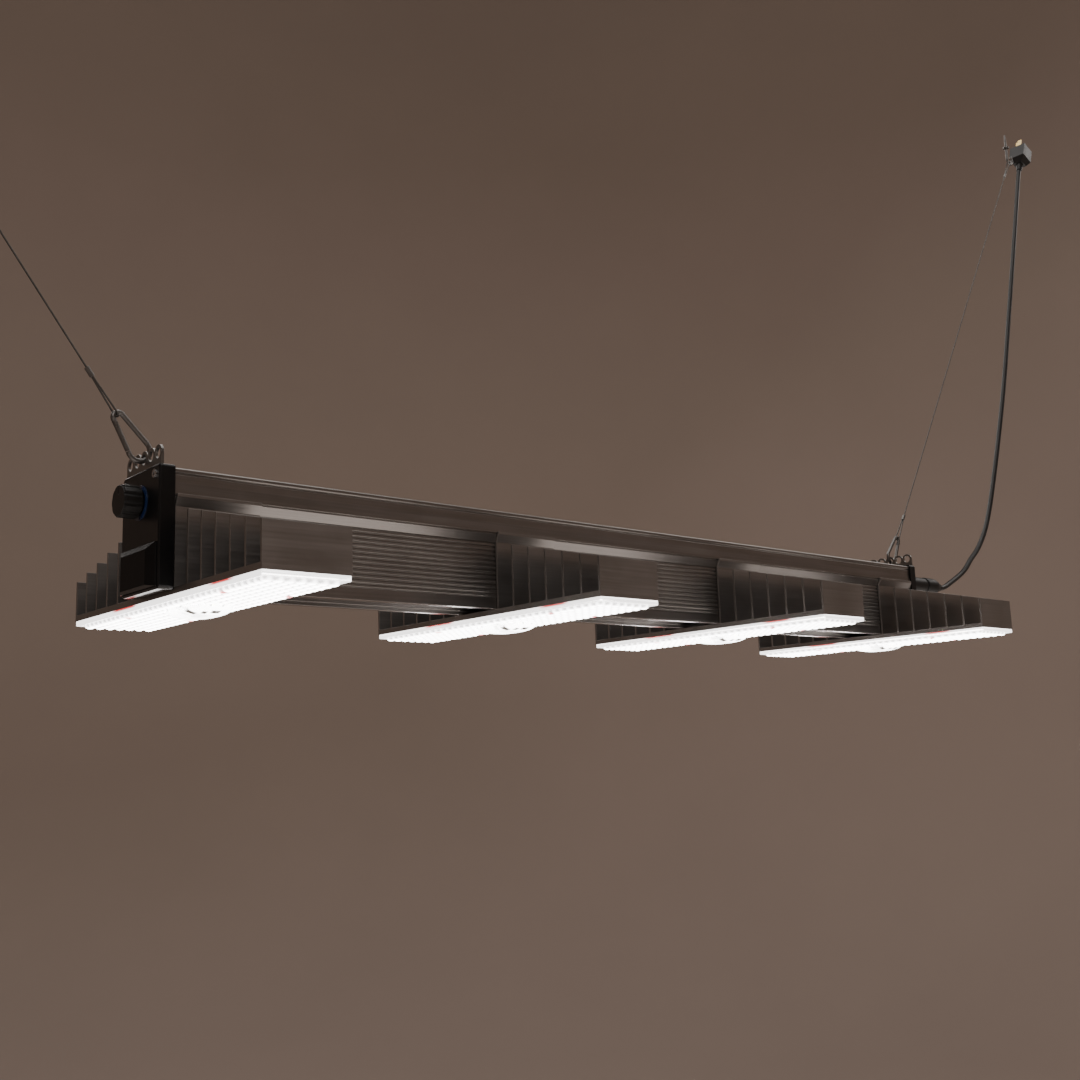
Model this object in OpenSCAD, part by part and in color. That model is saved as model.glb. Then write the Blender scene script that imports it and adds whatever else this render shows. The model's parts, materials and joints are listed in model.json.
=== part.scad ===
// Hanging grow light: four lens modules on one aluminium beam.
// Units are millimetres. X runs along the beam, the cable end is +X.
// Z is up. The origin lies between the two hanging holes.

/* [Modules] */
// distance between the centres of two light modules
module_pitch = 307.5; // [300:0.5:315]
// width of one module along the beam
module_width = 69.5; // [60:0.5:80]
// length of one module across the beam
module_length = 326; // [300:1:340]
// underside of the heat sinks below the hanging holes
sink_drop = 106; // [100:1:115]
// thickness of the heat sink base plate
base_thick = 5; // [4:0.5:6]
// thickness of one fin
fin_thick = 2.2; // [1.5:0.1:3]
// spacing of the fins
fin_pitch = 22; // [18:0.5:25]
// centre of the fin next to the beam
fin_first = 29.9; // [29.5:0.1:31]
// height of the second fin over the underside
fin_high = 60; // [50:1:65]
// height lost from one fin to the next
fin_step = 5.2; // [3:0.1:6]

/* [Lens] */
// height of the lens rim
rim_height = 4; // [3:0.5:6]
// half width of the lens rim
rim_half = 34.6; // [30:0.1:36]
// thickness of the raised lens field
field_rise = 2; // [1:0.1:3]
// height of the middle dome under the rim
dome_rise = 9; // [5:0.5:12]
// thickness of the LED board
board_thick = 1.6; // [1:0.1:2]
// side of one LED
led_side = 3.5; // [2:0.5:5]
// thickness of one LED
led_thick = 0.7; // [0.5:0.1:0.9]
// distance of the module bolts from the module centre
bolt_offset = 9.5; // [9:0.1:12]

/* [Beam] */
// half length of the beam
beam_half = 505; // [500:1:510]
// half width of the beam at its ribbed walls
beam_wall = 28; // [26:0.1:28.4]
// height of a rib over the wall
rib_rise = 0.4; // [0.2:0.1:0.4]
// spacing of the ribs
rib_pitch = 4.3; // [4:0.1:4.4]
// thickness of the driver case wall
case_wall = 1.5; // [1:0.1:3]

/* [Ends] */
// thickness of the hanger plate
plate_thick = 2; // [1.5:0.1:2]
// half width of the hanger plate
plate_half = 31.5; // [30:0.5:31.5]
// radius of a hanging hole
hole_r = 4.2; // [4:0.1:4.5]
// spacing of the hanging holes
hole_pitch = 12.5; // [12:0.1:13]
// half width of the end caps
cap_half = 33.5; // [33:0.1:36]
// outer face of the end caps
cap_face = 510; // [509:0.1:512]
// radius of an end cap screw
screw_r = 1.6; // [1.5:0.1:2]

/* [Dimmer] */
// height of the knob axis
knob_z = -34; // [-40:1:-30]
// radius of the knob
knob_r = 12.6; // [10:0.1:14]
// length of the gripped part of the knob
knob_length = 14; // [10:1:18]
// outer radius of the dial ring
dial_r = 13.5; // [12:0.1:15]

/* [Mains lead] */
// height of the mains inlet axis
inlet_z = -27; // [-32:1:-25]
// radius of the connector
connector_r = 10.5; // [9:0.1:12]
// diameter of the lead
lead_d = 7; // [6:0.1:8]

/* [Hangers] */
// lean of the left rope from upright
lean_left = 35.8; // [0:0.1:40]
// lean of the right rope from upright
lean_right = 33.2; // [0:0.1:40]
// diameter of the wire of a carabiner
wire_d = 4; // [3.5:0.1:4]
// diameter of the rope
rope_d = 1.5; // [1:0.1:2]
// distance from the hanging hole to the end of the left rope
rope_end_left = 205; // [150:1:400]
// distance from the hanging hole to the end of the right rope
rope_end_right = 815; // [600:1:900]

/* [Hidden] */
zs = -sink_drop;
zb = zs + base_thick;
zr = zs - rim_height;
mx = [for (i = [0:3]) (i - 1.5) * module_pitch];
px = beam_half + 0.8;
pf = px + plate_thick;
pc = px + plate_thick / 2;
ports = [[27, -16.5], [-27, -16.5], [23.5, -95], [-23.5, -95]];
wr = wire_d / 2;
rr = rope_d / 2;
er = wr + 0.3 + rr;
big_r = 8.5;
small_r = 4;
small_v = 37;
pear = asin((big_r - small_r) / (small_v - big_r));
side_length = (small_v - big_r) * cos(pear);
side_u = big_r * cos(pear);
side_v = big_r + big_r * sin(pear);
top_u = small_r * cos(pear);
top_v = small_v + small_r * sin(pear);
gate_s = side_length - 3.4;
eye_v = small_v + small_r;
leg = 72 - eye_v;
outlet_z = -86;
hook_r = 8;
led_rows = [for (j = [-8:8]) if (abs(j) > 0) j * 18];
// The lead leaves the connector, rises outward and ends in its plug.
lead_points = [
    [622, 0, -27], [629, 0, -27], [640, 0, -24], [652, 0, -18.5],
    [670, 0, -10.5], [688, 0, -1.5], [702, 0, 8], [714.5, 0.5, 18.5],
    [735.5, 1, 33.5], [749.5, 1.3, 46], [763, 1.7, 60.5],
    [776, 2.2, 78], [788, 2.8, 97.5], [807, 3.8, 133.5],
    [847, 6, 217.5], [893.5, 9, 323], [952.5, 13.5, 471.5],
    [998, 16.5, 589.5], [1045, 20, 712], [1053.4, 20, 734]
];
$fn = 32;

// ---------- small helpers ----------

// cylinder along X from a to b
module xcyl(a, b, r, y = 0, z = 0) {
    translate([min(a, b), y, z])
        rotate([0, 90, 0])
            cylinder(h = abs(b - a), r = r);
}

// cylinder along Y from a to b
module ycyl(a, b, r, x = 0, z = 0) {
    translate([x, max(a, b), z])
        rotate([90, 0, 0])
            cylinder(h = abs(b - a), r = r);
}

// cylinder along Z from a to b
module zcyl(a, b, r, x = 0, y = 0) {
    translate([x, y, min(a, b)])
        cylinder(h = abs(b - a), r = r);
}

// box given by its two corners
module box(a, b) {
    translate(a)
        cube([b[0] - a[0], b[1] - a[1], b[2] - a[2]]);
}

// plain shape in the YZ plane pushed along X from a to b
module along_x(a, b) {
    translate([min(a, b), 0, 0])
        rotate([90, 0, 90])
            linear_extrude(height = abs(b - a))
                children();
}

// the left end is the right end mirrored
module at_left() {
    mirror([1, 0, 0])
        children();
}

// ---------- beam ----------

function rib(i) = let (z = -85.5 + rib_pitch * i, w = beam_wall - 0.8)
    [[w, z - 1.6], [beam_wall + rib_rise, z - 0.7],
     [beam_wall + rib_rise, z + 0.7], [w, z + 1.6]];

half_outline = concat(
    [[0, -97.5], [22, -97.5], [22, zb], [beam_wall, zb],
     [beam_wall, -91], [27.3, -90.4], [beam_wall, -89.8],
     [beam_wall, -88.6], [beam_wall - 0.8, -88]],
    [for (i = [0:10]) for (p = rib(i)) p],
    [[beam_wall - 0.8, -40.6], [beam_wall, -40], [31.5, -33],
     [30.8, -32.4], [30.8, -31.7], [31.8, -31.5], [31.8, -28.5],
     [31.3, -22], [31.5, -16.4], [30.8, -15.9], [30.8, -15.2],
     [31.5, -14.7], [31.8, -14], [31.8, -12], [31, -11], [0, -11]]
);

half_hollow = [
    [0, -95], [19.5, -95], [25.4, -89.5], [25.4, -87.5], [18, -87.5],
    [18, -85.5], [25.4, -85.5], [25.4, -41], [29.6, -32.5],
    [29.6, -21], [26, -20.6], [23, -17], [22.8, -13], [0, -13]
];

// whole outline from its right half
function both_sides(p) = concat(
    [for (q = p) if (q[0] > 0) q],
    [for (i = [len(p) - 1:-1:0]) if (p[i][0] > 0) [-p[i][0], p[i][1]]]
);

module beam_profile() {
    difference() {
        polygon(both_sides(half_outline));
        polygon(both_sides(half_hollow));
    }
}

module beam() {
    color([0.55, 0.54, 0.53])
        difference() {
            along_x(-beam_half, beam_half)
                beam_profile();
            for (p = ports)
                xcyl(-beam_half - 1, beam_half + 1, screw_r + 0.05, p[0], p[1]);
            for (x = mx) {
                zcyl(-99, -93, 2.6, x - bolt_offset, 0);
                zcyl(-99, -93, 2.6, x + bolt_offset, 0);
                zcyl(-99, -93, 3, x, 0);
            }
        }
}

// ---------- light modules ----------

module heat_sink(x) {
    h = module_length / 2;
    w = module_width / 2;
    t = fin_thick / 2;
    color([0.56, 0.54, 0.52])
        difference() {
            union() {
                box([x - w, -h, zs], [x + w, h, zb]);
                for (s = [-1, 1]) {
                    for (k = [1:6]) {
                        y = s * (fin_first + fin_pitch * k);
                        top = zs + fin_high - fin_step * (k - 1);
                        box([x - w, y - t, zs], [x + w, y + t, top]);
                    }
                }
                along_x(x - w, x + w)
                    first_fin();
                along_x(x - w, x + w)
                    mirror([1, 0])
                        first_fin();
            }
            zcyl(zs - 1, zb + 1, 2.6, x - bolt_offset, 0);
            zcyl(zs - 1, zb + 1, 2.6, x + bolt_offset, 0);
            zcyl(zs - 1, zb + 1, 3, x, 0);
        }
}

// the fin beside the beam follows its wall and leans out at the top
module first_fin() {
    a = fin_first - fin_thick / 2;
    b = fin_first + fin_thick / 2;
    polygon([
        [a, zs], [a, zs + 66.3], [a + 3.4, zs + 73.1], [a + 3.4, zs + 75],
        [b + 3.4, zs + 75], [b + 3.4, zs + 72.6], [b, zs + 65.8], [b, zs]
    ]);
}

module led_board(x) {
    color([0.85, 0.87, 0.86])
        difference() {
            box([x - 31, -157, zs - board_thick], [x + 31, 157, zs]);
            zcyl(zs - 3, zs + 1, 5, x - bolt_offset, 0);
            zcyl(zs - 3, zs + 1, 5, x + bolt_offset, 0);
            zcyl(zs - 3, zs + 1, 1.8, x, 0);
        }
}

module lens(x) {
    h = module_length / 2;
    color([0.95, 0.96, 0.97, 0.6])
        difference() {
            union() {
                box([x - rim_half, -h, zr], [x + rim_half, h, zs]);
                box([x - 30.5, -154.5, zr - field_rise], [x + 30.5, 154.5, zr]);
                hull() {
                    zcyl(zr - field_rise - 0.5, zr, 19, x, -9);
                    zcyl(zr - field_rise - 0.5, zr, 19, x, 9);
                    zcyl(zr - dome_rise, zr, 14, x, -9);
                    zcyl(zr - dome_rise, zr, 14, x, 9);
                }
            }
            box([x - 31.5, -158, zs - 2.6], [x + 31.5, 158, zs + 1]);
            box([x - 14.5, -16, zs - 6.5], [x + 14.5, 16, zs]);
            lens_groove(x);
        }
}

// frame shaped groove under the base plate for the seal
module lens_groove(x) {
    difference() {
        box([x - 33.6, -161.2, zs - 1.4], [x + 33.6, 161.2, zs]);
        box([x - 32.4, -160, zs - 2], [x + 32.4, 160, zs + 1]);
    }
}

module lens_seals() {
    color([0.1, 0.1, 0.1])
        for (x = mx)
            lens_groove(x);
}

module one_led(x, y) {
    h = led_side / 2;
    box([x - h, y - h, zs - board_thick - led_thick],
        [x + h, y + h, zs - board_thick]);
}

// two places of each outer column hold a red LED
function is_red(c, j) = c != 0 && (j == -90 || j == 72);

module white_leds() {
    color([0.98, 0.95, 0.7])
        for (x = mx)
            for (c = [-1, 0, 1])
                for (j = led_rows)
                    if (!is_red(c, j))
                        one_led(x + 20 * c, j);
}

module red_leds() {
    color([0.9, 0.1, 0.1])
        for (x = mx)
            for (c = [-1, 1])
                for (j = led_rows)
                    if (is_red(c, j))
                        one_led(x + 20 * c, j);
}

module module_bolts() {
    color([0.7, 0.7, 0.72])
        for (x = mx)
            for (s = [-1, 1])
                translate([x + s * bolt_offset, 0, 0])
                    difference() {
                        union() {
                            zcyl(zs - 3.4, zs, 4.3);
                            zcyl(zs, -90.5, 2.5);
                            translate([0, 0, -95])
                                cylinder(h = 3.6, r = 4.6, $fn = 6);
                        }
                        translate([0, 0, zs - 4])
                            cylinder(h = 2.4, r = 2.2, $fn = 6);
                    }
}

module board_connectors() {
    color([0.15, 0.15, 0.16])
        for (x = mx)
            box([x - 4, -5, zs - 5.4], [x + 4, 5, zs - board_thick]);
}

// ---------- driver and wiring inside the beam ----------

module driver_case() {
    color([0.62, 0.63, 0.65]) {
        difference() {
            box([-160, -22, -85.5], [160, 22, -45.5]);
            box([-161, -22 + case_wall, -85.5 + case_wall],
                [161, 22 - case_wall, -45.5 - case_wall]);
        }
        for (x = [-140, 140])
            for (y = [-14, 14])
                zcyl(-84.2, -81, 3, x, y);
    }
}

module driver_board() {
    color([0.1, 0.35, 0.2])
        box([-150, -19, -81], [150, 19, -79.4]);
}

module driver_capacitors() {
    color([0.12, 0.12, 0.3])
        for (p = [[-110, -7], [-86, 7], [70, 0], [96, 0]])
            zcyl(-79.4, -49.4, 9, p[0], p[1]);
}

module driver_transformer() {
    color([0.75, 0.7, 0.4]) {
        box([-30, -15, -79.4], [12, 15, -73]);
        box([-24, -9, -73], [6, 9, -58]);
        box([-30, -15, -58], [12, 15, -51]);
    }
}

module dimmer_board() {
    color([0.1, 0.35, 0.2])
        box([-494, -20, -52], [-492.4, 20, -18]);
}

module dimmer_encoder() {
    color([0.6, 0.6, 0.62])
        difference() {
            union() {
                box([-500.5, -6.5, knob_z - 6.5], [-494, 6.5, knob_z + 6.5]);
                xcyl(-pf, -500, 5, 0, knob_z);
            }
            xcyl(-pf - 1, -499, 3.05, 0, knob_z);
        }
}

module wire_node(p, r) {
    translate(p)
        sphere(r = r);
}

module wiring_loom() {
    color([0.2, 0.2, 0.22]) {
        xcyl(-488, 488, 2, 12, -90);
        wire_node([-488, 12, -90], 2);
        wire_node([488, 12, -90], 2);
        for (x = mx) {
            ycyl(0, 12, 1.2, x, -90);
            wire_node([x, 0, -90], 1.2);
            zcyl(zs - board_thick, -90, 1.2, x, 0);
        }
        zcyl(-90, -85.5, 1.2, 0, 12);
        zcyl(-90, inlet_z, 1.8, 488, 12);
        wire_node([488, 12, inlet_z], 1.8);
        ycyl(0, 12, 1.8, 488, inlet_z);
        wire_node([488, 0, inlet_z], 1.8);
        xcyl(488, 497, 1.8, 0, inlet_z);
        ycyl(0, 12, 1.8, -488, -90);
        wire_node([-488, 0, -90], 1.8);
        xcyl(-497, -488, 1.8, 0, -90);
        zcyl(-90, -40, 1.2, -488, 12);
        wire_node([-488, 12, -40], 1.2);
        xcyl(-492.4, -488, 1.2, 12, -40);
    }
}

// ---------- ends ----------

module plate_shape() {
    translate([-plate_half, -99])
        square([2 * plate_half, 99]);
    for (k = [-2:2])
        translate([k * hole_pitch, 0])
            circle(r = 6.5);
}

module hanger_plate() {
    difference() {
        along_x(px, pf)
            plate_shape();
        for (k = [-2:2])
            xcyl(px - 1, pf + 1, hole_r, k * hole_pitch, 0);
        for (p = ports)
            xcyl(px - 1, pf + 1, 2, p[0], p[1]);
    }
}

module hanger_plate_right() {
    color([0.78, 0.79, 0.8])
        difference() {
            hanger_plate();
            xcyl(px - 1, pf + 1, 9, 0, inlet_z);
        }
}

module hanger_plate_left() {
    color([0.78, 0.79, 0.8])
        difference() {
            at_left()
                hanger_plate();
            xcyl(-px + 1, -pf - 1, 7, 0, knob_z);
            xcyl(-px + 1, -pf - 1, 9, 0, outlet_z);
        }
}

module cap_shape(d) {
    translate([-cap_half + 3 + d, -103 + 3 + d])
        offset(r = 3)
            square([2 * cap_half - 6 - 2 * d, 94 - 6 - 2 * d]);
}

module end_cap() {
    difference() {
        hull() {
            along_x(497.5, cap_face - 1.2)
                cap_shape(0);
            along_x(497.5, cap_face)
                cap_shape(1.2);
        }
        box([490, -32.1, -101.3], [pf, 32.1, -10.7]);
        box([px - 0.3, -plate_half - 0.3, -12], [pf, plate_half + 0.3, -5]);
        for (p = ports)
            xcyl(pf - 1, cap_face + 1, 1.8, p[0], p[1]);
    }
}

module end_cap_right() {
    color([0.07, 0.07, 0.08])
        difference() {
            end_cap();
            xcyl(pf - 1, cap_face + 1, 8.6, 0, inlet_z);
        }
}

module end_cap_left() {
    color([0.07, 0.07, 0.08])
        difference() {
            at_left()
                end_cap();
            xcyl(-cap_face - 1, -pf + 1, 3.4, 0, knob_z);
            xcyl(-cap_face - 1, -pf + 1, 8.6, 0, outlet_z);
        }
}

module gasket() {
    difference() {
        box([beam_half, -31, -100], [px, 31, -12]);
        box([beam_half - 1, -20, -90], [px + 1, 20, -14]);
        xcyl(beam_half - 1, px + 1, 9, 0, outlet_z);
        for (p = ports)
            xcyl(beam_half - 1, px + 1, 2, p[0], p[1]);
    }
}

module end_gaskets() {
    color([0.12, 0.12, 0.12]) {
        gasket();
        at_left()
            gasket();
    }
}

module screw_set() {
    for (p = ports)
        difference() {
            union() {
                xcyl(493, cap_face, screw_r, p[0], p[1]);
                xcyl(cap_face, cap_face + 1.8, 3.1, p[0], p[1]);
            }
            translate([cap_face + 0.7, p[0], p[1]])
                rotate([0, 90, 0])
                    cylinder(h = 2, r = 1.5, $fn = 6);
        }
}

module end_cap_screws() {
    color([0.75, 0.75, 0.77]) {
        screw_set();
        at_left()
            screw_set();
    }
}

module inlet_socket() {
    color([0.09, 0.09, 0.1]) {
        difference() {
            union() {
                xcyl(497, cap_face, 8.5, 0, inlet_z);
                xcyl(cap_face, cap_face + 4, 11, 0, inlet_z);
            }
            xcyl(501, cap_face + 5, 6.5, 0, inlet_z);
        }
        for (a = [90, 210, 330])
            xcyl(500.5, 510.5, 1, 3.4 * cos(a), inlet_z + 3.4 * sin(a));
    }
}

module outlet_socket() {
    color([0.09, 0.09, 0.1])
        difference() {
            union() {
                difference() {
                    union() {
                        xcyl(-cap_face, -497, 8.5, 0, outlet_z);
                        xcyl(-cap_face - 3.2, -cap_face, 10, 0, outlet_z);
                    }
                    xcyl(-cap_face - 4, -501, 6.5, 0, outlet_z);
                }
                xcyl(-cap_face - 1, -500.5, 4.5, 0, outlet_z);
            }
            for (a = [90, 210, 330])
                xcyl(-cap_face - 2, -502, 1.1, 2.6 * cos(a), outlet_z + 2.6 * sin(a));
        }
}

module outlet_cover() {
    f = cap_face;
    color([0.07, 0.07, 0.08])
        difference() {
            union() {
                difference() {
                    hull() {
                        box([-f - 1.3, -32, -101], [-f - 0.3, 32, -68]);
                        box([-f - 5, -22, -99.5], [-f - 2, 22, -73]);
                    }
                    xcyl(-f - 3.6, -f + 1, 10.4, 0, outlet_z);
                    for (y = [-23.5, 23.5])
                        xcyl(-f - 2.4, -f + 1, 3.6, y, -95);
                }
                xcyl(-f - 3.8, -f + 7, 6.45, 0, outlet_z);
            }
            xcyl(-f - 3.2, -f + 8, 4.9, 0, outlet_z);
        }
}

// ---------- dimmer ----------

module dial_ring() {
    color([0.2, 0.45, 0.95])
        difference() {
            xcyl(-cap_face - 0.8, -cap_face, dial_r, 0, knob_z);
            xcyl(-cap_face - 2, -cap_face + 1, 10.4, 0, knob_z);
        }
}

module dimmer_knob() {
    a = cap_face + 3;
    b = a + knob_length;
    color([0.06, 0.06, 0.07])
        difference() {
            union() {
                xcyl(-a, -cap_face - 0.5, 8, 0, knob_z);
                xcyl(-b + 1, -a, knob_r, 0, knob_z);
                xcyl(-b, -b + 1, knob_r - 0.8, 0, knob_z);
            }
            for (i = [0:9])
                xcyl(-b - 1, -a + 1, 2.4,
                     (knob_r + 1.2) * cos(36 * i + 18),
                     knob_z + (knob_r + 1.2) * sin(36 * i + 18));
            xcyl(-b + 4, -cap_face + 1, 3, 0, knob_z);
            box([-b - 1, -0.6, knob_z + 5], [-b + 0.6, 0.6, knob_z + 11]);
        }
}

module dimmer_shaft() {
    b = cap_face + 3 + knob_length;
    color([0.75, 0.75, 0.77])
        xcyl(-b + 4, -500, 3, 0, knob_z);
}

// ---------- mains lead ----------

module mains_connector() {
    s = cap_face + 4.4;
    color([0.06, 0.06, 0.07])
        difference() {
            union() {
                xcyl(502, s + 1, 6.45, 0, inlet_z);
                translate([s, 0, inlet_z])
                    rotate([0, 90, 0])
                        rotate_extrude($fn = 48)
                            polygon([
                                [0, 0], [9.6, 0], [connector_r, 1],
                                [connector_r, 24], [9.7, 25], [9.7, 27],
                                [connector_r, 28], [connector_r, 62],
                                [9.8, 65.6], [0, 65.6]
                            ]);
            }
            for (a = [90, 210, 330])
                xcyl(500, 512, 1.3, 3.4 * cos(a), inlet_z + 3.4 * sin(a));
        }
}

module connector_nut() {
    color([0.06, 0.06, 0.07])
        translate([580, 0, inlet_z])
            rotate([0, 90, 0])
                rotate_extrude($fn = 48)
                    polygon([
                        [0, 0], [10.6, 0], [11.2, 1.5], [11.2, 20],
                        [10.6, 25], [9, 30], [7, 34], [5.6, 38],
                        [5, 42], [0, 42]
                    ]);
}

function unit(v) = v / norm(v);
function mix(a, b, c, d, t) = 0.5 * (2 * b + (c - a) * t
    + (2 * a - 5 * b + 4 * c - d) * t * t
    + (3 * b - a - 3 * c + d) * t * t * t);
function curve_point(p, i, t) = let (n = len(p) - 1)
    mix(i == 0 ? 2 * p[0] - p[1] : p[i - 1], p[i], p[i + 1],
        i == n - 1 ? 2 * p[n] - p[n - 1] : p[i + 2], t);
function steps(p, i) = max(1, round(norm(p[i + 1] - p[i]) / 18));
function curve(p) = concat(
    [for (i = [0:len(p) - 2]) for (k = [0:steps(p, i) - 1])
        curve_point(p, i, k / steps(p, i))],
    [p[len(p) - 1]]);
function heading(c, i) = i == 0 ? unit(c[1] - c[0])
    : i == len(c) - 1 ? unit(c[i] - c[i - 1])
    : unit(c[i + 1] - c[i - 1]);
function ring(c, i, r, n) = let (
        t = heading(c, i),
        a = unit(cross([0, 1, 0], t)),
        b = cross(t, a))
    [for (k = [0:n - 1])
        c[i] + r * (cos(360 * k / n) * a + sin(360 * k / n) * b)];

module tube(c, r, n) {
    m = len(c);
    points = [for (i = [0:m - 1]) for (q = ring(c, i, r, n)) q];
    sides = [for (i = [0:m - 2]) for (k = [0:n - 1])
        let (k2 = (k + 1) % n)
        for (f = [[i * n + k, (i + 1) * n + k, (i + 1) * n + k2],
                  [i * n + k, (i + 1) * n + k2, i * n + k2]]) f];
    first = [for (k = [0:n - 1]) k];
    last = [for (k = [0:n - 1]) m * n - 1 - k];
    polyhedron(points = points, faces = concat(sides, [first, last]));
}

module mains_lead() {
    color([0.05, 0.05, 0.05])
        tube(curve(lead_points), lead_d / 2, 12);
}

// frame of the plug at the end of the lead
module at_plug() {
    translate([1053.4, 20, 734])
        rotate([0, 20.9, 0])
            children();
}

module mains_plug() {
    color([0.06, 0.06, 0.07])
        at_plug() {
            cylinder(h = 12, r1 = 4.6, r2 = 6);
            difference() {
                translate([0, 0, 12])
                    hull() {
                        translate([-8, -8, 0])
                            cube([16, 16, 2]);
                        translate([-13, -13, 10])
                            cube([26, 26, 24]);
                    }
                translate([-7.25, 0, 45])
                    cube([1.5, 6.3, 12], center = true);
                translate([7.25, 0, 45])
                    cube([1.5, 6.3, 12], center = true);
                translate([0, 8.5, 39])
                    cylinder(h = 12, r = 2.4);
            }
        }
}

module plug_pins() {
    color([0.8, 0.7, 0.4])
        at_plug() {
            translate([-8, -3.15, 39])
                cube([1.5, 6.3, 24]);
            translate([6.5, -3.15, 39])
                cube([1.5, 6.3, 24]);
            translate([0, 8.5, 39])
                cylinder(h = 27, r = 2.4);
        }
}

// ---------- hangers ----------

// frame with u outward and v up the leaning rope, right side
module at_hanger(lean) {
    translate([pc, 0, 0])
        rotate([0, lean, 0])
            children();
}

// frame that runs along the gate of the carabiner
module at_gate() {
    translate([side_u, 0, side_v])
        rotate([0, -pear, 0])
            children();
}

module carabiner() {
    difference() {
        union() {
            translate([0, 0, big_r])
                rotate([90, 0, 0])
                    rotate([0, 0, 180 - pear])
                        rotate_extrude(angle = 180 + 2 * pear)
                            translate([big_r, 0])
                                circle(r = wr);
            translate([0, 0, small_v])
                rotate([90, 0, 0])
                    rotate([0, 0, pear])
                        rotate_extrude(angle = 180 - 2 * pear)
                            translate([small_r, 0])
                                circle(r = wr);
            translate([-side_u, 0, side_v])
                rotate([0, pear, 0])
                    cylinder(h = side_length, r = wr);
            for (s = [-1, 1]) {
                knuckle(s * side_u, side_v);
                knuckle(s * top_u, top_v);
            }
            at_gate() {
                cylinder(h = 2, r = wr);
                translate([0, 0, gate_s - 2.4])
                    cylinder(h = 5.8, r = wr);
            }
        }
        at_gate() {
            translate([-3, -0.95, gate_s - 3])
                cube([6, 1.9, 5.3]);
            ycyl(-3, 3, 0.7, 0, gate_s);
        }
    }
}

// small swelling where a bend meets a straight
module knuckle(u, v) {
    translate([u, 0, v])
        sphere(r = wr + 0.15);
}

module gate_rivet() {
    at_gate() {
        ycyl(-wr, wr, 0.7, 0, gate_s);
        ycyl(wr, wr + 0.4, 1.2, 0, gate_s);
        ycyl(-wr - 0.4, -wr, 1.2, 0, gate_s);
    }
}

module carabiner_gate() {
    at_gate()
        difference() {
            union() {
                translate([0, 0, 2.4])
                    cylinder(h = gate_s - 5.6, r = wr);
                translate([-1.8, -0.65, gate_s - 4])
                    cube([3.6, 1.3, 4]);
                ycyl(-0.65, 0.65, 1.8, 0, gate_s);
            }
            ycyl(-1, 1, 0.75, 0, gate_s);
        }
}

// one eye of the rope, opening upward from the wire at the origin
module rope_eye() {
    rotate([90, 0, 90])
        rotate([0, 0, 180])
            rotate_extrude(angle = 180)
                translate([er, 0])
                    circle(r = rr);
    for (s = [-1, 1]) {
        translate([0, s * er, 0])
            sphere(r = rr);
        translate([0, s * er, 0])
            rotate([s * atan((er - rr - 0.03) / leg), 0, 0])
                cylinder(h = leg / cos(atan((er - rr - 0.03) / leg)), r = rr);
    }
}

// wire centre of the ceiling hook above the end of the rope
function hook_v(rope_end) = rope_end + 8 + leg;

module rope_eyes(rope_end) {
    translate([0, 0, eye_v])
        rope_eye();
    translate([0, 0, hook_v(rope_end)])
        rotate([180, 0, 0])
            rope_eye();
}

module ferrules(rope_end) {
    for (v = [72, rope_end])
        translate([0, 0, v])
            cylinder(h = 8, r = 2);
}

module rope(rope_end) {
    translate([0, 0, 80])
        cylinder(h = rope_end - 80, r = rr);
}

module ceiling_hook(lean, rope_end) {
    v = hook_v(rope_end) + hook_r;
    translate([pc + v * sin(lean), 0, v * cos(lean)]) {
        rotate([90, 0, 0])
            rotate([0, 0, 180])
                rotate_extrude(angle = 220)
                    translate([hook_r, 0])
                        circle(r = 2);
        translate([hook_r * cos(40), 0, hook_r * sin(40)])
            sphere(r = 2.5);
        translate([-hook_r, 0, 0]) {
            cylinder(h = 20, r = 2);
            translate([0, 0, 18])
                cylinder(h = 2, r = 5);
            translate([0, 0, 20])
                cylinder(h = 22, r1 = 2.2, r2 = 1);
        }
    }
}

module zinc() {
    color([0.75, 0.76, 0.78])
        children();
}

module carabiner_left() {
    zinc()
        at_left()
            at_hanger(lean_left)
                carabiner();
}

module carabiner_right() {
    zinc()
        at_hanger(lean_right)
            carabiner();
}

module gate_rivet_left() {
    zinc()
        at_left()
            at_hanger(lean_left)
                gate_rivet();
}

module gate_rivet_right() {
    zinc()
        at_hanger(lean_right)
            gate_rivet();
}

module carabiner_gate_left() {
    zinc()
        at_left()
            at_hanger(lean_left)
                carabiner_gate();
}

module carabiner_gate_right() {
    zinc()
        at_hanger(lean_right)
            carabiner_gate();
}

module rope_eyes_left() {
    color([0.6, 0.6, 0.6])
        at_left()
            at_hanger(lean_left)
                rope_eyes(rope_end_left);
}

module rope_eyes_right() {
    color([0.6, 0.6, 0.6])
        at_hanger(lean_right)
            rope_eyes(rope_end_right);
}

module ferrules_left() {
    zinc()
        at_left()
            at_hanger(lean_left)
                ferrules(rope_end_left);
}

module ferrules_right() {
    zinc()
        at_hanger(lean_right)
            ferrules(rope_end_right);
}

module rope_left() {
    color([0.6, 0.6, 0.6])
        at_left()
            at_hanger(lean_left)
                rope(rope_end_left);
}

module rope_right() {
    color([0.6, 0.6, 0.6])
        at_hanger(lean_right)
            rope(rope_end_right);
}

module ceiling_hook_left() {
    zinc()
        at_left()
            ceiling_hook(lean_left, rope_end_left);
}

module ceiling_hook_right() {
    zinc()
        ceiling_hook(lean_right, rope_end_right);
}

module heat_sink_1() {
    heat_sink(mx[0]);
}

module heat_sink_2() {
    heat_sink(mx[1]);
}

module heat_sink_3() {
    heat_sink(mx[2]);
}

module heat_sink_4() {
    heat_sink(mx[3]);
}

module led_board_1() {
    led_board(mx[0]);
}

module led_board_2() {
    led_board(mx[1]);
}

module led_board_3() {
    led_board(mx[2]);
}

module led_board_4() {
    led_board(mx[3]);
}

module lens_1() {
    lens(mx[0]);
}

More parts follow.
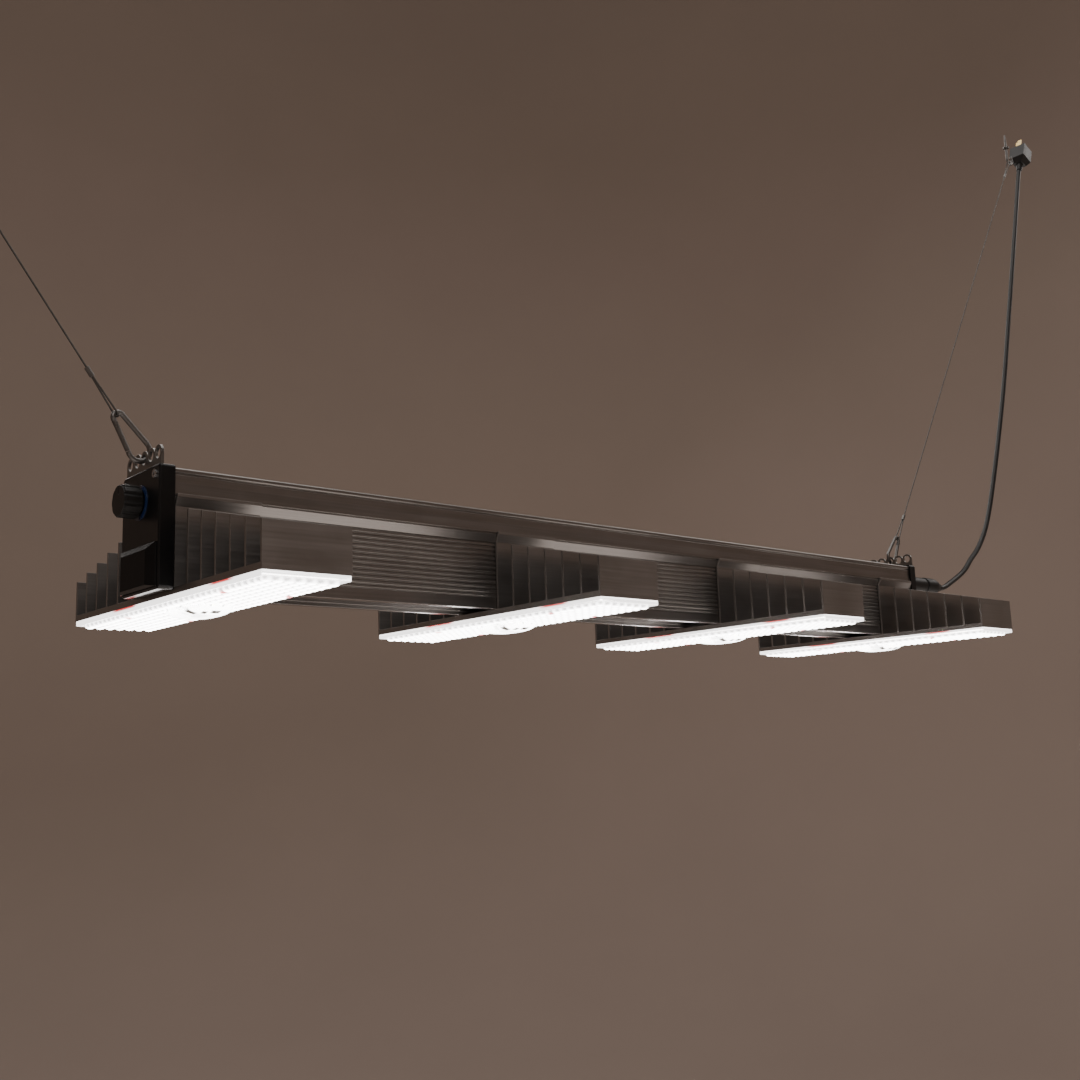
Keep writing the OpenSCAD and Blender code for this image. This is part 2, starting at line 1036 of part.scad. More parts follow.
module lens_2() {
    lens(mx[1]);
}

module lens_3() {
    lens(mx[2]);
}

module lens_4() {
    lens(mx[3]);
}

// ---------- parts ----------

beam();
hanger_plate_left();
hanger_plate_right();
end_cap_left();
end_cap_right();
end_gaskets();
end_cap_screws();
heat_sink_1();
heat_sink_2();
heat_sink_3();
heat_sink_4();
led_board_1();
led_board_2();
led_board_3();
led_board_4();
lens_1();
lens_2();
lens_3();
lens_4();
lens_seals();
white_leds();
red_leds();
module_bolts();
board_connectors();
driver_case();
driver_board();
driver_capacitors();
driver_transformer();
dimmer_board();
dimmer_encoder();
dial_ring();
wiring_loom();
inlet_socket();
outlet_socket();
dimmer_knob();
dimmer_shaft();
outlet_cover();
mains_connector();
connector_nut();
mains_lead();
mains_plug();
plug_pins();
carabiner_left();
gate_rivet_left();
rope_eyes_left();
ferrules_left();
rope_left();
ceiling_hook_left();
carabiner_right();
gate_rivet_right();
rope_eyes_right();
ferrules_right();
rope_right();
ceiling_hook_right();
carabiner_gate_left();
carabiner_gate_right();
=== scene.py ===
import json
import math

import bpy
from mathutils import Matrix, Vector


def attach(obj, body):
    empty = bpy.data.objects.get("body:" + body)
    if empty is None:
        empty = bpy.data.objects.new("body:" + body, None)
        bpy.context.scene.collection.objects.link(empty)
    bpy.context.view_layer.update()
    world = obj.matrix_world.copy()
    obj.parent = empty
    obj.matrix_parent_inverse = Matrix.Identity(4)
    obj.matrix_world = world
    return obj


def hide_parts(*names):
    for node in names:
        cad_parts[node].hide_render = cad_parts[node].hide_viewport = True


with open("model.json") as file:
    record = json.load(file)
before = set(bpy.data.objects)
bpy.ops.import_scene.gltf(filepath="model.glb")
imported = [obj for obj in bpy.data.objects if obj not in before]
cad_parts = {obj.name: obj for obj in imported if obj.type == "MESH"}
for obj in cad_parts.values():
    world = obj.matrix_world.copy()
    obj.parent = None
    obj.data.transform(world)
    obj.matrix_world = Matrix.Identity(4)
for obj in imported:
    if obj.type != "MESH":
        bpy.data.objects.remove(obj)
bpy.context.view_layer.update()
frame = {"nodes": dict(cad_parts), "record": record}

MM = 0.001


def node_obj(name):
    """The object of a CAD node."""
    if name in bpy.data.objects:
        return bpy.data.objects[name]
    return frame["nodes"][name]


def add_object(name, data):
    o = bpy.data.objects.new(name, data)
    bpy.context.scene.collection.objects.link(o)
    return o


# ---------- camera, as in the photo ----------

CAMERA_LENS = 39.83
CAMERA_SENSOR = 36
CAMERA_PLACE = Vector((-0.8704, -0.8584, -0.2316))
CAMERA_RIGHT = Vector((0.75157, -0.65860, -0.03723))
CAMERA_UP = Vector((-0.08869, -0.15680, 0.98364))
CAMERA_FORWARD = Vector((0.65366, 0.73598, 0.17626))

cam_data = bpy.data.cameras.new("camera")
cam_data.sensor_width = CAMERA_SENSOR
cam_data.lens = CAMERA_LENS
cam_data.clip_start = 0.01
cam_data.clip_end = 60
camera = add_object("camera", cam_data)
turn = Matrix((CAMERA_RIGHT, CAMERA_UP, -CAMERA_FORWARD)).transposed()
camera.matrix_world = Matrix.Translation(CAMERA_PLACE) @ turn.to_4x4()
bpy.context.scene.camera = camera


# ---------- shader helpers ----------

def put(tree, socket, value):
    """Link another node's output, or set a constant on the socket."""
    if isinstance(value, bpy.types.NodeSocket):
        tree.links.new(value, socket)
    else:
        socket.default_value = value


def add(tree, kind, inputs=None, **settings):
    node = tree.nodes.new("ShaderNode" + kind)
    for key, value in settings.items():
        setattr(node, key, value)
    for key, value in (inputs or {}).items():
        put(tree, node.inputs[key], value)
    return node


def calc(tree, operation, *values, clamp=False):
    return add(tree, "Math", dict(enumerate(values)),
               operation=operation, use_clamp=clamp).outputs[0]


def remap(tree, value, from_min, from_max, to_min=0.0, to_max=1.0,
          smooth=False):
    return add(tree, "MapRange",
               {"Value": value, "From Min": from_min, "From Max": from_max,
                "To Min": to_min, "To Max": to_max},
               interpolation_type="SMOOTHSTEP" if smooth else "LINEAR"
               ).outputs["Result"]


def mix_colour(tree, factor, a, b, blend="MIX"):
    return add(tree, "Mix", {"Factor": factor, "A": a, "B": b},
               data_type="RGBA", blend_type=blend).outputs["Result"]


def two_colours(tree, factor, low, low_colour, high, high_colour):
    """A ramp from one colour at low to another at high."""
    node = add(tree, "ValToRGB", {"Fac": factor})
    elements = node.color_ramp.elements
    elements[0].position, elements[0].color = low, low_colour
    elements[1].position, elements[1].color = high, high_colour
    return node.outputs["Color"]


def object_coords(tree):
    return add(tree, "TexCoord").outputs["Object"]


def split(tree, vector):
    return add(tree, "SeparateXYZ", {0: vector}).outputs


def strongest(tree, values):
    """The greatest of the values, taken pair by pair."""
    top = values[0]
    for value in values[1:]:
        top = calc(tree, "MAXIMUM", top, value)
    return top


def shader_of(mt):
    return mt.node_tree.nodes["Principled BSDF"]


def shaded(colour, k=1.0):
    return tuple(min(1, c * k) for c in colour) + (1,)


def material(name, base, rough, metal=0.0, spread=0.12, patch=30.0,
             grain=(900, 900, 900), grain_bump=0.15, grain_depth=0.00008,
             rough_spread=0.10, wear=None, wear_amount=0.5, edge=0.0004,
             coat=0.0, aniso=0.0, spec=0.5, streak=0.0):
    """Colour drift in patches, a fine grain in bump and gloss, and rounded
    edges whose coating is worn to the wear colour."""
    mt = bpy.data.materials.new(name)
    mt.use_nodes = True
    tree = mt.node_tree
    shader = shader_of(mt)
    for key, value in (("Metallic", metal), ("Coat Weight", coat),
                       ("Coat Roughness", 0.15), ("Anisotropic", aniso),
                       ("Specular IOR Level", spec)):
        put(tree, shader.inputs[key], value)
    coords = object_coords(tree)
    drift = add(tree, "TexNoise",
                {"Vector": coords, "Scale": patch, "Detail": 5,
                 "Roughness": 0.6}).outputs["Fac"]
    colour = two_colours(tree, drift, 0.3, shaded(base, 1 - spread),
                         0.7, shaded(base, 1 + spread))
    scaled = add(tree, "Mapping", {"Vector": coords, "Scale": grain})
    fine = add(tree, "TexNoise",
               {"Vector": scaled.outputs["Vector"], "Scale": 1.0,
                "Detail": 3}).outputs["Fac"]
    both = calc(tree, "MULTIPLY_ADD", drift, 0.5,
                calc(tree, "MULTIPLY", fine, 0.5))
    gloss = remap(tree, both, 0.3, 0.7, max(0.04, rough - rough_spread),
                  min(1, rough + rough_spread))
    put(tree, shader.inputs["Roughness"], gloss)
    if streak:
        lines = two_colours(tree, fine, 0.35, shaded((1, 1, 1), 1 - streak),
                            0.65, (1, 1, 1, 1))
        colour = mix_colour(tree, 1, colour, lines, "MULTIPLY")
    bump = add(tree, "Bump", {"Strength": grain_bump,
                              "Distance": grain_depth, "Height": fine})
    if edge:
        rounded = add(tree, "Bevel", {"Radius": edge},
                      samples=3).outputs["Normal"]
        put(tree, bump.inputs["Normal"], rounded)
        if wear:
            flat = add(tree, "NewGeometry").outputs["Normal"]
            turned = add(tree, "VectorMath", {0: rounded, 1: flat},
                         operation="DOT_PRODUCT").outputs["Value"]
            bare = calc(tree, "MULTIPLY",
                        remap(tree, turned, 0.995, 0.85, 0, wear_amount),
                        drift)
            colour = mix_colour(tree, bare, colour, shaded(wear))
    put(tree, shader.inputs["Normal"], bump.outputs["Normal"])
    put(tree, shader.inputs["Base Color"], colour)
    return mt


# ---------- finishes ----------

ALU = (0.29, 0.275, 0.265)
FINISHES = {
    "anodised": dict(
        base=ALU, rough=0.36, metal=1.0, spread=0.08, patch=14,
        grain=(6, 700, 700), grain_bump=0.25, grain_depth=0.00006,
        rough_spread=0.08, wear=(0.75, 0.72, 0.68), wear_amount=0.8,
        edge=0.0005, aniso=0.3, streak=0.12),
    "sink": dict(
        base=(0.32, 0.305, 0.295), rough=0.42, metal=1.0, spread=0.08,
        patch=18, grain=(10, 600, 600), grain_bump=0.3, grain_depth=0.00006,
        rough_spread=0.08, wear=(0.62, 0.60, 0.57), wear_amount=0.4,
        edge=0.0004, streak=0.10),
    "stainless": dict(
        base=(0.25, 0.245, 0.235), rough=0.36, metal=1.0, spread=0.06,
        patch=60, grain=(1200, 40, 1200), grain_bump=0.25,
        grain_depth=0.00004, rough_spread=0.08, wear=(0.6, 0.59, 0.58),
        wear_amount=0.5, edge=0.0003, streak=0.15),
    "cap_plastic": dict(
        base=(0.006, 0.006, 0.0065), rough=0.36, metal=0, spread=0.25,
        patch=40, grain=(1500, 1500, 1500), grain_bump=0.12,
        grain_depth=0.00005, rough_spread=0.08, wear=(0.06, 0.06, 0.06),
        wear_amount=0.5, edge=0.0008, coat=0.08, spec=0.25),
    "cover_plastic": dict(
        base=(0.005, 0.005, 0.0055), rough=0.52, metal=0, spread=0.25,
        patch=40, grain=(1200, 1200, 1200), grain_bump=0.06,
        grain_depth=0.00004, rough_spread=0.06, wear=(0.06, 0.06, 0.06),
        wear_amount=0.3, edge=0.0006, spec=0.18),
    "knob_plastic": dict(
        base=(0.007, 0.007, 0.007), rough=0.44, metal=0, spread=0.2, patch=80,
        grain=(2500, 2500, 2500), grain_bump=0.35, grain_depth=0.00008,
        rough_spread=0.08, wear=(0.06, 0.06, 0.06), wear_amount=0.5,
        edge=0.0008, spec=0.35),
    "seal_rubber": dict(
        base=(0.02, 0.02, 0.02), rough=0.75, metal=0, spread=0.3, patch=90,
        grain=(900, 900, 900), grain_bump=0.4, grain_depth=0.0001, edge=0),
    "zinc": dict(
        base=(0.19, 0.185, 0.18), rough=0.40, metal=1.0, spread=0.07,
        patch=160, grain=(900, 900, 900), grain_bump=0.15,
        grain_depth=0.00003, rough_spread=0.06, wear=(0.7, 0.7, 0.69),
        wear_amount=0.5, edge=0.0002),
    "screw_steel": dict(
        base=(0.42, 0.42, 0.42), rough=0.28, metal=1.0, spread=0.12,
        patch=200, grain=(900, 900, 900), grain_bump=0.2, grain_depth=0.00005,
        rough_spread=0.08, wear=(0.8, 0.8, 0.8), wear_amount=0.6, edge=0.0002),
    "pcb_white": dict(
        base=(0.80, 0.81, 0.80), rough=0.45, metal=0, spread=0.04, patch=50,
        grain=(500, 500, 500), grain_bump=0.15, grain_depth=0.00005, edge=0),
    "pcb_green": dict(
        base=(0.05, 0.22, 0.11), rough=0.35, metal=0, spread=0.2, patch=120,
        grain=(700, 700, 700), grain_bump=0.3, grain_depth=0.00008, edge=0),
    "dark_plastic": dict(
        base=(0.03, 0.03, 0.032), rough=0.45, metal=0, spread=0.2, patch=90,
        grain=(1500, 1500, 1500), grain_bump=0.3, grain_depth=0.00006,
        rough_spread=0.08, edge=0.0004),
    "case_metal": dict(
        base=(0.55, 0.56, 0.57), rough=0.40, metal=1.0, spread=0.08, patch=30,
        grain=(20, 700, 700), grain_bump=0.25, grain_depth=0.00005,
        rough_spread=0.08, edge=0),
    "capacitor": dict(
        base=(0.03, 0.03, 0.12), rough=0.3, metal=0, spread=0.2, patch=100,
        grain=(400, 400, 400), grain_bump=0.1, grain_depth=0.00005, edge=0),
    "transformer": dict(
        base=(0.55, 0.42, 0.12), rough=0.4, metal=0, spread=0.15, patch=100,
        grain=(60, 60, 900), grain_bump=0.4, grain_depth=0.0001, edge=0),
    "lead_pvc": dict(
        base=(0.010, 0.010, 0.010), rough=0.38, metal=0, spread=0.25,
        patch=60, grain=(700, 700, 700), grain_bump=0.2, grain_depth=0.00008,
        rough_spread=0.10, edge=0),
    "pin_brass": dict(
        base=(0.70, 0.52, 0.24), rough=0.25, metal=1.0, spread=0.12,
        patch=150, grain=(80, 80, 900), grain_bump=0.2, grain_depth=0.00004,
        rough_spread=0.08, wear=(0.9, 0.78, 0.5), wear_amount=0.5,
        edge=0.0002),
    "rope_steel": dict(
        base=(0.13, 0.125, 0.12), rough=0.48, metal=1.0, spread=0.2,
        patch=300, grain=(900, 900, 900), grain_bump=0.3, grain_depth=0.00005,
        rough_spread=0.12, edge=0),
}

MATS = {name: material(name, **look) for name, look in FINISHES.items()}


def polished_underside(mt, rough):
    """The face that looks down keeps its mill shine."""
    tree = mt.node_tree
    gloss = shader_of(mt).inputs["Roughness"]
    usual = gloss.links[0].from_socket
    facing = split(tree, add(tree, "NewGeometry").outputs["True Normal"])
    down = remap(tree, facing["Z"], -0.80, -0.95)
    mixed = add(tree, "Mix", {"Factor": down, "A": usual, "B": rough})
    put(tree, gloss, mixed.outputs["Result"])


polished_underside(MATS["anodised"], 0.10)
polished_underside(MATS["cap_plastic"], 0.08)
polished_underside(MATS["cover_plastic"], 0.08)


def led_material(name, base, colour):
    mt = material(name, base, 0.4, spread=0.1, patch=200, edge=0)
    shader = shader_of(mt)
    shader.inputs["Emission Color"].default_value = (*colour, 1)
    shader.inputs["Emission Strength"].default_value = 4
    return mt


MATS["led_white"] = led_material("led_white", (0.9, 0.8, 0.4),
                                 (1, 0.95, 0.85))
MATS["led_red"] = led_material("led_red", (0.8, 0.05, 0.05),
                               (1, 0.05, 0.05))


def dial_material():
    """Smoked ring, with a faint blue highlight painted as emission on the side
    towards -Y.
    """
    mt = material("dial", (0.012, 0.022, 0.045), 0.25, spread=0.15,
                  patch=200, edge=0.0002)
    tree = mt.node_tree
    y = split(tree, object_coords(tree))["Y"]
    # painted highlight: emission that grows towards the -Y side of the ring
    painted_highlight = calc(tree, "MULTIPLY_ADD", y, -260, -0.5, clamp=True)
    shader = shader_of(mt)
    shader.inputs["Emission Color"].default_value = (0.06, 0.22, 1.0, 1)
    put(tree, shader.inputs["Emission Strength"],
        calc(tree, "MULTIPLY", painted_highlight, 0.014))
    return mt


MATS["dial"] = dial_material()

# the lens's field of bumps, in mm
PITCH_X, PITCH_Y = 8.6, 9.0
COLUMNS, ROWS = 7, 35
# adding this half-odd number of cells puts a bump on the centre line
CELL_SHIFT = 100.5

RED = (1.0, 0.03, 0.035, 1)
RED_SPOTS = ((0.026, -0.0925, 0), (0.026, 0.0720, 0))
RIM_GLOWS = ((-0.1045, 0.0145), (0.0600, 0.0195))
LENS_STRENGTH = 16.0
RIM_STRENGTH = 2.6
DOME_STRENGTH = 6.4
# painted shade marks on the dome, where the bolts and plug behind it block the
# glow: centre x, centre y, half width
DOME_SHADE_MARKS = ((-0.0140, -0.0150, 0.0038), (-0.0060, -0.0205, 0.0020),
              (0.0020, -0.0230, 0.0036))
SHADE_MARK_HALF_HEIGHT = 0.0027


def lens_material():
    """White light from every lens bump, with red spots over the red LEDs."""
    mt = material("lens_glow", (0.86, 0.87, 0.90), 0.16, spread=0.03,
                  patch=60, grain=(300, 300, 300), grain_bump=0.1,
                  grain_depth=0.00005, rough_spread=0.05, edge=0)
    tree = mt.node_tree
    coords = object_coords(tree)
    place = split(tree, coords)
    squares = []
    for axis, pitch in (("X", PITCH_X), ("Y", PITCH_Y)):
        t = calc(tree, "MULTIPLY_ADD", place[axis], 1000 / pitch, CELL_SHIFT)
        t = calc(tree, "SUBTRACT", calc(tree, "FRACT", t), 0.5)
        squares.append(calc(tree, "MULTIPLY", t, t))
    from_middle = calc(tree, "SQRT", calc(tree, "ADD", *squares))
    core = remap(tree, from_middle, 0.56, 0.22, 0.10, 1.0, smooth=True)
    # each bump is a little brighter or dimmer than the next
    noise = add(tree, "TexNoise", {"Vector": coords, "Scale": 150,
                                   "Detail": 2}).outputs["Fac"]
    uneven = calc(tree, "MULTIPLY_ADD", noise, 0.5, 0.72)
    strength = calc(tree, "MULTIPLY", calc(tree, "MULTIPLY", core, uneven),
                    LENS_STRENGTH)
    # red spots, alike on both sides of the module
    one_side = add(tree, "CombineXYZ",
                   {0: calc(tree, "ABSOLUTE", place["X"]),
                    1: place["Y"]}).outputs[0]
    spots = []
    for spot in RED_SPOTS:
        away = add(tree, "VectorMath", {0: one_side, 1: spot},
                   operation="DISTANCE").outputs["Value"]
        spots.append(remap(tree, away, 0.0040, 0.0010, smooth=True))
    red = strongest(tree, spots)
    shader = shader_of(mt)
    put(tree, shader.inputs["Emission Color"],
        mix_colour(tree, red, (1.0, 0.975, 0.96, 1), RED))
    dim = calc(tree, "MULTIPLY_ADD", red, -0.86, 1.0)
    put(tree, shader.inputs["Emission Strength"],
        calc(tree, "MULTIPLY", strength, dim))
    shader.inputs["Coat Weight"].default_value = 0.4
    return mt


GLOW_COLOUR = (1, 0.97, 0.95, 1)


def clear_material(name, tint, rough, glow):
    mt = material(name, tint, rough, spread=0.02, patch=40,
                  grain=(250, 250, 250), grain_depth=0.0001,
                  rough_spread=0.04, edge=0)
    inputs = shader_of(mt).inputs
    inputs["Transmission Weight"].default_value = 0.9
    inputs["IOR"].default_value = 1.49
    inputs["Emission Color"].default_value = GLOW_COLOUR
    inputs["Emission Strength"].default_value = glow
    return mt


def rim_material():
    """Clear rim that carries the light, red beside the red LEDs."""
    mt = clear_material("lens_rim", (0.80, 0.78, 0.78), 0.18, RIM_STRENGTH)
    tree = mt.node_tree
    place = split(tree, object_coords(tree))
    glows = []
    for y, half in RIM_GLOWS:
        away = calc(tree, "ABSOLUTE", calc(tree, "SUBTRACT", place["Y"], y))
        glows.append(remap(tree, away, half + 0.007, half - 0.006,
                           smooth=True))
    # only the top edge of the side, where the board looks out
    high = remap(tree, place["Z"], -0.1078, -0.1068)
    red = calc(tree, "MULTIPLY", strongest(tree, glows), high)
    inputs = shader_of(mt).inputs
    put(tree, inputs["Emission Color"],
        mix_colour(tree, red, GLOW_COLOUR, RED))
    put(tree, inputs["Emission Strength"],
        calc(tree, "MULTIPLY_ADD", red, -1.6, RIM_STRENGTH))
    return mt


def dome_material():
    """Clear dome, with painted dark marks for the shade of the bolts and plug
    behind it.
    """
    mt = clear_material("lens_dome", (0.95, 0.96, 0.98), 0.10,
                        DOME_STRENGTH)
    tree = mt.node_tree
    coords = object_coords(tree)
    place = split(tree, coords)
    shade_marks = []
    for x, y, half in DOME_SHADE_MARKS:
        dx = calc(tree, "ABSOLUTE", calc(tree, "SUBTRACT", place["X"], x))
        dy = calc(tree, "ABSOLUTE", calc(tree, "SUBTRACT", place["Y"], y))
        off = calc(tree, "MAXIMUM", calc(tree, "DIVIDE", dx, half),
                   calc(tree, "DIVIDE", dy, SHADE_MARK_HALF_HEIGHT))
        shade_marks.append(remap(tree, off, 1.25, 0.75, smooth=True))
    noise = add(tree, "TexNoise", {"Vector": coords,
                                   "Scale": 400}).outputs["Fac"]
    # painted shade: less glow, less clearness and a darker colour inside the
    # marks
    painted_shade = calc(tree, "MULTIPLY", strongest(tree, shade_marks),
                calc(tree, "MULTIPLY_ADD", noise, 0.4, 0.8), clamp=True)
    inputs = shader_of(mt).inputs
    put(tree, inputs["Emission Strength"],
        calc(tree, "MULTIPLY_ADD", painted_shade, -6.3, DOME_STRENGTH))
    put(tree, inputs["Transmission Weight"],
        calc(tree, "MULTIPLY_ADD", painted_shade, -0.9, 0.9, clamp=True))
    plain = inputs["Base Color"].links[0].from_socket
    put(tree, inputs["Base Color"],
        mix_colour(tree, painted_shade, plain, (0.10, 0.09, 0.06, 1)))
    return mt


MATS["lens_glow"] = lens_material()
MATS["lens_rim"] = rim_material()
MATS["lens_dome"] = dome_material()

for row in frame["record"]["subparts"]:
    slots = node_obj(row["node"]).data.materials
    slots.clear()
    slots.append(MATS[row["material_slot"]])


# ---------- mesh helpers ----------

def new_mesh(name, verts, faces):
    me = bpy.data.meshes.new(name)
    me.from_pydata([tuple(v) for v in verts], [], faces)
    me.update()
    for p in me.polygons:
        p.use_smooth = True
    return add_object(name, me)


def ring_faces(a, b, n):
    """Faces between two closed loops of n points, from their first ones."""
    return [(a + k, a + (k + 1) % n, b + (k + 1) % n, b + k)
            for k in range(n)]


def dense(points):
    """The smooth line through the route's points, as in the CAD."""
    p = [Vector(q) * MM for q in points]
    p = [2 * p[0] - p[1]] + p + [2 * p[-1] - p[-2]]
    out = []
    for a, b, c, d in zip(p, p[1:], p[2:], p[3:]):
        steps = max(1, round((c - b).length / 0.009))
        for j in range(steps):
            t = j / steps
            out.append(0.5 * (2 * b + (c - a) * t
                              + (2 * a - 5 * b + 4 * c - d) * t * t
                              + (3 * b - a - 3 * c + d) * t ** 3))
    out.append(p[-2])
    return out


# ---------- cords ----------

LEAD_DIAMETER = 0.007
LEAD = [
    (622, 0, -27), (629, 0, -27), (640, 0, -24), (652, 0, -18.5),
    (670, 0, -10.5), (688, 0, -1.5), (702, 0, 8), (714.5, 0.5, 18.5),
    (735.5, 1, 33.5), (749.5, 1.3, 46), (763, 1.7, 60.5), (776, 2.2, 78),
    (788, 2.8, 97.5), (807, 3.8, 133.5), (847, 6, 217.5), (893.5, 9, 323),
    (952.5, 13.5, 471.5), (998, 16.5, 589.5), (1045, 20, 712),
    (1053.4, 20, 734),
]
line = dense(LEAD)
curve = bpy.data.curves.new("mains_cable", "CURVE")
curve.dimensions = "3D"
curve.bevel_depth = LEAD_DIAMETER / 2
curve.bevel_resolution = 6
curve.use_fill_caps = True
spline = curve.splines.new("POLY")
spline.points.add(len(line) - 1)
for point, place in zip(spline.points, line):
    point.co = (*place, 1)
curve.materials.append(MATS["lead_pvc"])
cable = add_object("mains_cable", curve)
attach(cable, "mains_lead")
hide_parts("mains_lead")

# where the carabiners hang, each way from the middle of the beam
HANGER_X = 506.8
ROPE_RADIUS, ROPE_STRAND_BULGE = 0.60, 0.15
ROPE_LAY = 0.011
ROPE_STEP = 0.0009
ROPE_SIDES = 24


def hanger_point(side, lean, v):
    """The point v mm up the line of a hanger that leans outwards."""
    a = math.radians(lean)
    return Vector((side * (HANGER_X + v * math.sin(a)), 0,
                   v * math.cos(a))) * MM


def strand_rope(end, side, lean, v0, v1):
    """Laid wire rope: six strands twisted round the straight line."""
    body = "hanger_" + end
    a, b = hanger_point(side, lean, v0), hanger_point(side, lean, v1)
    along = (b - a).normalized()
    e1 = Vector((0, 1, 0))
    e2 = along.cross(e1).normalized()
    span, n = (b - a).length, ROPE_SIDES
    rings = max(8, int(span / ROPE_STEP))
    verts, faces = [], []
    for i in range(rings + 1):
        s = span * i / rings
        twist = 2 * math.pi * s / ROPE_LAY
        for k in range(n):
            th = 2 * math.pi * k / n
            r = (ROPE_RADIUS + ROPE_STRAND_BULGE
                 * abs(math.cos(3 * (th - twist)))) * MM
            verts.append(a + along * s
                         + r * (math.cos(th) * e1 + math.sin(th) * e2))
    for i in range(rings):
        faces += ring_faces(i * n, (i + 1) * n, n)
    faces.append(tuple(reversed(range(n))))
    faces.append(tuple(rings * n + k for k in range(n)))
    o = new_mesh("wire_rope_" + end, verts, faces)
    o.data.materials.append(MATS["rope_steel"])
    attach(o, body)
    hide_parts("rope_" + end)


strand_rope("left", -1, 35.8, 80, 205)
strand_rope("right", 1, 33.2, 80, 815)


# ---------- lenses, in mm ----------

MODULE_PITCH = 307.5
RIM_FACE_Z = -110
# half width, half length, height and corner radius of the rim's loops
RIM_LOOPS = [
    (31.5, 158, -108.6, 1.0), (31.5, 158, -106, 1.0), (34.6, 163, -106, 2.0),
    (34.6, 163, -109.3, 2.0), (34.4, 162.8, -109.8, 1.9),
    (33.9, 162.3, RIM_FACE_Z, 1.6), (31.9, 160.2, RIM_FACE_Z, 1.0),
    (31.6, 159.9, -109.7, 0.9), (31.4, 159.7, -108.9, 0.8),
    (30.0, 157.4, -108.9, 0.6),
]
STEPS_PER_BUMP = 8
FIELD_EDGE_Z = -109.0
DOME_HALF_X, DOME_HALF_Y, DOME_POWER = 21.5, 30.0, 2.6
GLOW_FACE, RIM_FACE, DOME_FACE = range(3)


def rounded_loop(hx, hy, z, r, n=6):
    out = []
    for cx, cy, start in ((hx - r, hy - r, 0), (-hx + r, hy - r, 90),
                          (-hx + r, -hy + r, 180), (hx - r, -hy + r, 270)):
        for k in range(n + 1):
            a = math.radians(start + 90 * k / n)
            out.append((cx + r * math.cos(a), cy + r * math.sin(a), z))
    return out


def dome_reach(x, y):
    """Below 1 inside the dome's outline."""
    return (abs(x) / DOME_HALF_X) ** DOME_POWER \
        + (abs(y) / DOME_HALF_Y) ** DOME_POWER


def bump_height(x, y):
    """How far the lens skin hangs below the rim's face."""
    u = (x / PITCH_X + CELL_SHIFT) % 1 - 0.5
    v = (y / PITCH_Y + CELL_SHIFT) % 1 - 0.5
    q = (u / 0.49) ** 2 + (v / 0.49) ** 2
    h = 0.8 + 2.0 * math.sqrt(max(0.0, 1 - q))
    e = dome_reach(x, y)
    if e < 1.12:
        h = 0.9
    if e < 1:
        h = max(h, 1.4 + 7.4 * (1 - e) ** 0.42)
    return h


def build_lens_mesh():
    verts, faces, kinds = [], [], []
    loops = [rounded_loop(*loop) for loop in RIM_LOOPS]
    n = len(loops[0])
    for loop in loops:
        verts += [Vector(v) * MM for v in loop]
    for i in range(len(loops) - 1):
        faces += ring_faces(i * n, (i + 1) * n, n)
        kinds += [RIM_FACE] * n
    nx, ny = COLUMNS * STEPS_PER_BUMP, ROWS * STEPS_PER_BUMP
    base = len(verts)

    def place(i, j):
        return (i / nx - 0.5) * COLUMNS * PITCH_X, \
            (j / ny - 0.5) * ROWS * PITCH_Y

    for j in range(ny + 1):
        for i in range(nx + 1):
            x, y = place(i, j)
            if i in (0, nx) or j in (0, ny):
                z = FIELD_EDGE_Z
            else:
                z = RIM_FACE_Z - bump_height(x, y)
            verts.append(Vector((x, y, z)) * MM)
    for j in range(ny):
        for i in range(nx):
            a = base + j * (nx + 1) + i
            faces.append((a, a + nx + 1, a + nx + 2, a + 1))
            inside = dome_reach(*place(i + 0.5, j + 0.5)) < 1
            kinds.append(DOME_FACE if inside else GLOW_FACE)
    return verts, faces, kinds


verts, faces, kinds = build_lens_mesh()
first = new_mesh("lens_skin_1", verts, faces)
for name in ("lens_glow", "lens_rim", "lens_dome"):
    first.data.materials.append(MATS[name])
for p, kind in zip(first.data.polygons, kinds):
    p.material_index = kind
for i in range(4):
    o = first if i == 0 else add_object("lens_skin_%d" % (i + 1), first.data)
    o.location = ((i - 1.5) * MODULE_PITCH * MM, 0, 0)
    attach(o, "lamp")
    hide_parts("lens_%d" % (i + 1))


# ---------- stage and light ----------

FLOOR_Z = -1.6
FLOOR_RADIUS = 3.6
CURVE_RADIUS = 1.6
WALL_RADIUS = 5.2
STAGE_SEGMENTS = 72

stage_look = material("studio", (0.39, 0.318, 0.275), 0.85, spread=0.03,
                      patch=0.8, grain=(8, 8, 8), grain_bump=0.1,
                      grain_depth=0.002, rough_spread=0.05, edge=0,
                      spec=0.2)
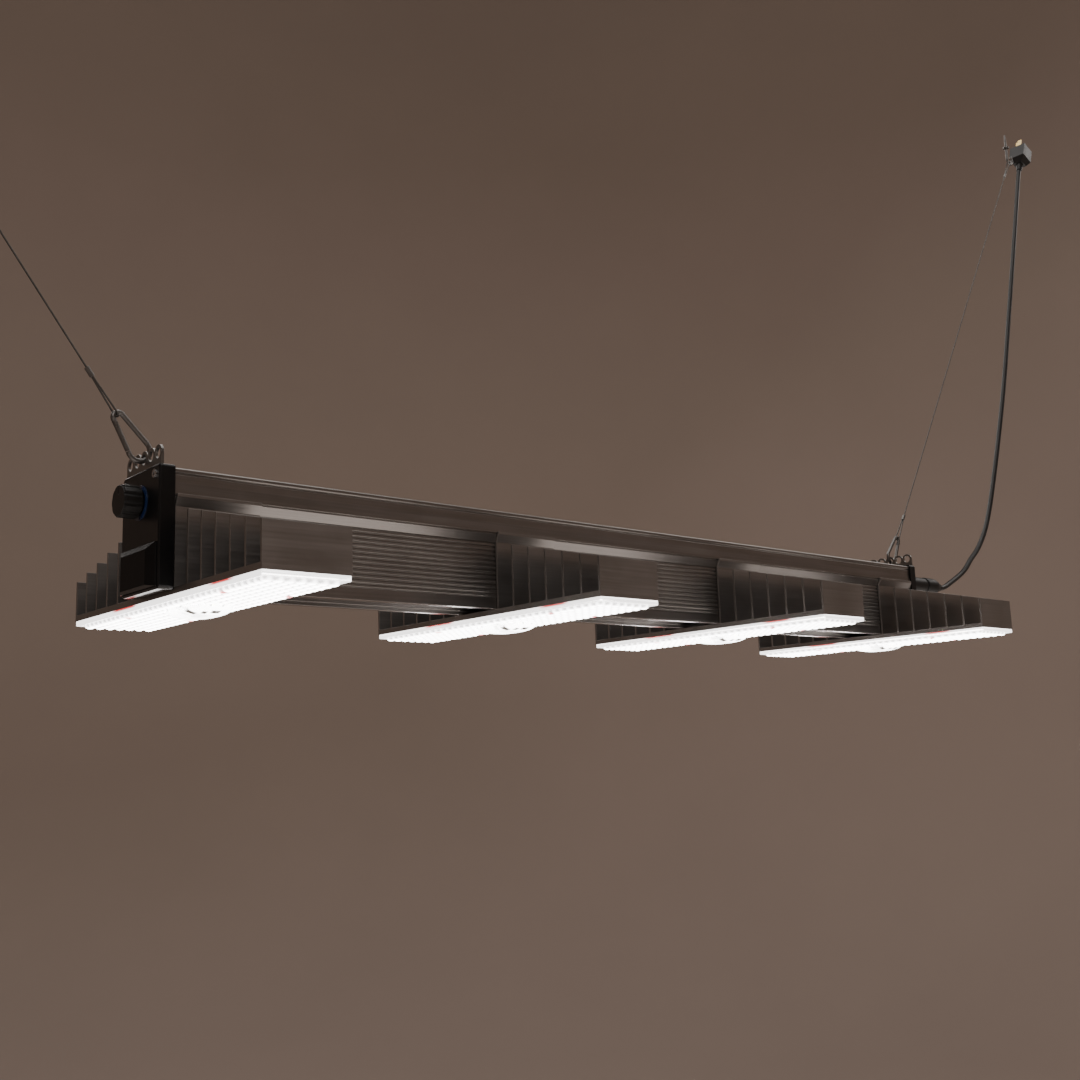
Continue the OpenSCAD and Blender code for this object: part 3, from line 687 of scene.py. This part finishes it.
# a round floor that curves up into a wall
profile = [(0.0, FLOOR_Z), (FLOOR_RADIUS, FLOOR_Z)]
for degrees in range(10, 91, 10):
    a = math.radians(degrees)
    profile.append((FLOOR_RADIUS + CURVE_RADIUS * math.sin(a),
                    FLOOR_Z + CURVE_RADIUS * (1 - math.cos(a))))
profile += [(WALL_RADIUS, 2.5), (WALL_RADIUS, 7.0)]
n = STAGE_SEGMENTS
verts, faces = [], []
for r, z in profile:
    for k in range(n):
        a = 2 * math.pi * k / n
        verts.append(Vector((r * math.cos(a), r * math.sin(a), z)))
for i in range(len(profile) - 1):
    for k in range(n):
        k2 = (k + 1) % n
        if i == 0:
            faces.append((k, n + k, n + k2))
        else:
            faces.append((i * n + k, (i + 1) * n + k, (i + 1) * n + k2,
                          i * n + k2))
studio = new_mesh("studio_floor", verts, faces)
studio.data.materials.append(stage_look)

world = bpy.context.scene.world or bpy.data.worlds.new("world")
bpy.context.scene.world = world
world.use_nodes = True
background = world.node_tree.nodes.get("Background")
background.inputs["Color"].default_value = (1.0, 0.92, 0.85, 1)
background.inputs["Strength"].default_value = 0.25


def area(name, place, target, size, power, colour):
    light = bpy.data.lights.new(name, "AREA")
    light.shape = "RECTANGLE"
    light.size, light.size_y = size
    light.energy = power
    light.color = colour
    o = add_object(name, light)
    o.location = place
    o.rotation_mode = "QUATERNION"
    aim = Vector(target) - Vector(place)
    o.rotation_quaternion = aim.to_track_quat("-Z", "Y")
    return o


area("key", (-2.2, -2.6, 2.4), (0, 0, 0), (2.2, 2.2), 36, (1, 0.95, 0.91))
area("fill", (3.2, -0.6, 2.4), (0.2, 0, 0), (2.0, 2.0), 26,
     (1, 0.96, 0.93))
area("back", (0.5, 3.2, 2.4), (0, 0, 0.1), (3.0, 1.6), 42,
     (1, 0.96, 0.93))
area("top", (0, 0, 3.1), (0, 0, 0), (3.0, 3.0), 40, (1, 0.96, 0.93))
bounce = area("bounce", (0.9, -1.0, -1.5), (0.9, -1.0, 0), (4.4, 4.4), 75,
              (1, 0.92, 0.86))
bounce.visible_camera = False

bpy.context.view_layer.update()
